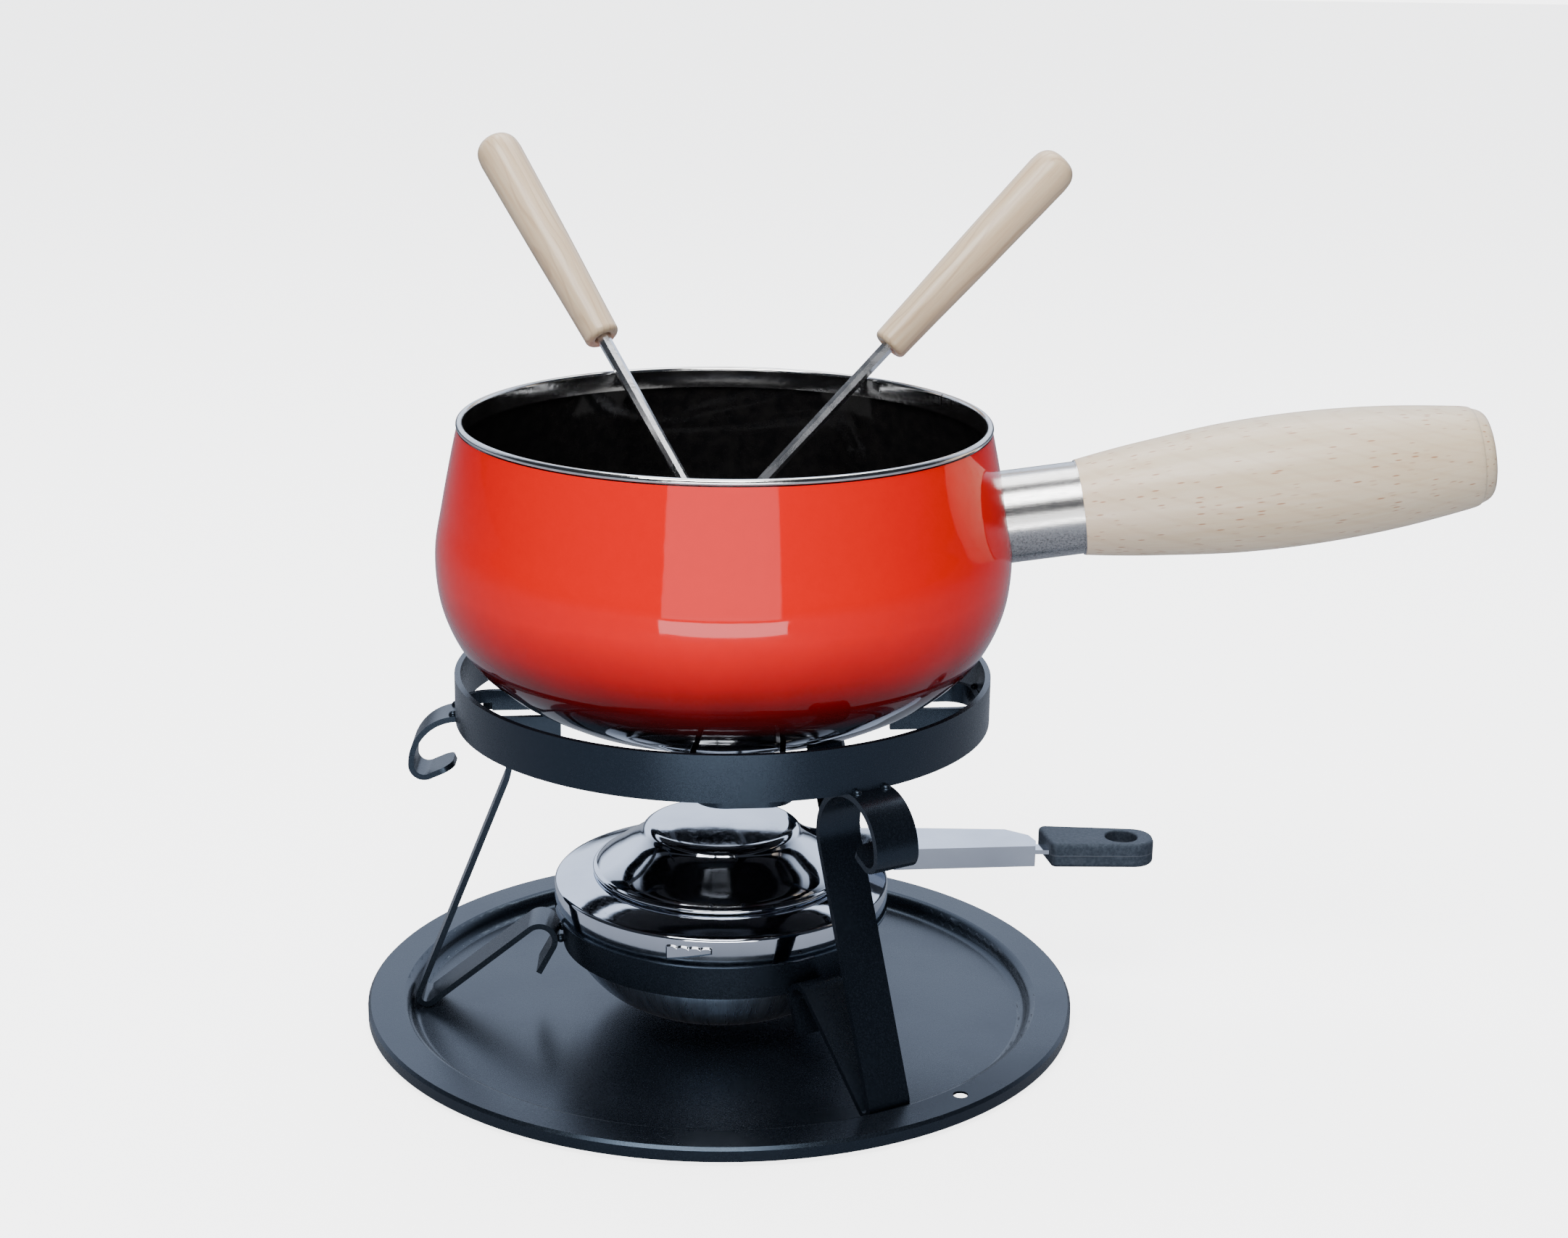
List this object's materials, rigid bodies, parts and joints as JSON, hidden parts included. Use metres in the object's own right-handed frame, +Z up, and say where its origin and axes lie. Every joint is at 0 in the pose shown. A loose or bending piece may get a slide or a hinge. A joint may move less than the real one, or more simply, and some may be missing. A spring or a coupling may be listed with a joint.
{
  "type": "fondue pot set",
  "caption": "Enamelled pot with a turned wooden handle and forks, standing on a bent-strip stand over a round burner with a snuffer lid, on a drip tray.",
  "frame": {"origin": "centre of the tray's underside, where the set rests", "axes": "+Z up; +X along the pot's handle and the burner's arm; -Y towards the side with the front leg and the regulator's scallops"},
  "size_m": [0.3893, 0.2677, 0.2961],
  "materials": {
    "blue_black_coat": "satin",
    "brushed_bowl": "brushed",
    "wadding": "rough",
    "gauze": "matt",
    "polished_steel": "polished",
    "satin_steel": "satin",
    "grip_rubber": "matt",
    "red_enamel": "gloss",
    "beech": "lacquered",
    "fork_wood": "lacquered"
  },
  "bodies": {
    "tray": {"tray": "blue_black_coat"},
    "stand": {"stand_ring": "blue_black_coat", "burner_ring": "blue_black_coat", "leg_left": "blue_black_coat", "leg_front": "blue_black_coat", "leg_back": "blue_black_coat", "pot_rest_1": "blue_black_coat", "pot_rest_2": "blue_black_coat", "pot_rest_3": "blue_black_coat", "pot_rest_4": "blue_black_coat", "stand_welds": "blue_black_coat", "rest_welds": "blue_black_coat"},
    "burner": {"burner_bowl": "brushed_bowl", "burner_top": "brushed_bowl", "burner_wadding": "wadding", "burner_gauze": "gauze"},
    "regulator": {"regulator_cap": "polished_steel"},
    "snuffer": {"snuffer_lid": "polished_steel", "lid_arm": "polished_steel", "lid_grip": "grip_rubber"},
    "pot": {"pot_shell": "red_enamel", "rim_band": "polished_steel", "handle_ferrule": "satin_steel", "handle_stud": "satin_steel", "handle_washer": "satin_steel", "wooden_handle": "beech"},
    "fork_left": {"fork_shaft_left": "polished_steel", "fork_handle_left": "fork_wood"},
    "fork_right": {"fork_shaft_right": "polished_steel", "fork_handle_right": "fork_wood"}
  },
  "joints": [
    {"name": "stand_lift", "type": "slide", "parent": "tray", "child": "stand", "axis": [0, 0, 1], "range_m": [0, 0.12]},
    {"name": "burner_lift", "type": "slide", "parent": "stand", "child": "burner", "axis": [0, 0, 1], "range_m": [0, 0.018]},
    {"name": "regulator_turn", "type": "hinge", "parent": "burner", "child": "regulator", "pos_m": [0, 0, 0.05], "axis": [0, 0, 1], "range_deg": [-20, 20]},
    {"name": "snuffer_lift", "type": "slide", "parent": "burner", "child": "snuffer", "axis": [0, 0, 1], "range_m": [0, 0.02]},
    {"name": "pot_lift", "type": "slide", "parent": "stand", "child": "pot", "axis": [0, 0, 1], "range_m": [0, 0.15]},
    {"name": "fork_left_draw", "type": "slide", "parent": "pot", "child": "fork_left", "axis": [-0.4664, 0.5471, 0.6951], "range_m": [0, 0.16]},
    {"name": "fork_right_draw", "type": "slide", "parent": "pot", "child": "fork_right", "axis": [0.6736, 0.251, 0.6952], "range_m": [0, 0.16]}
  ]
}
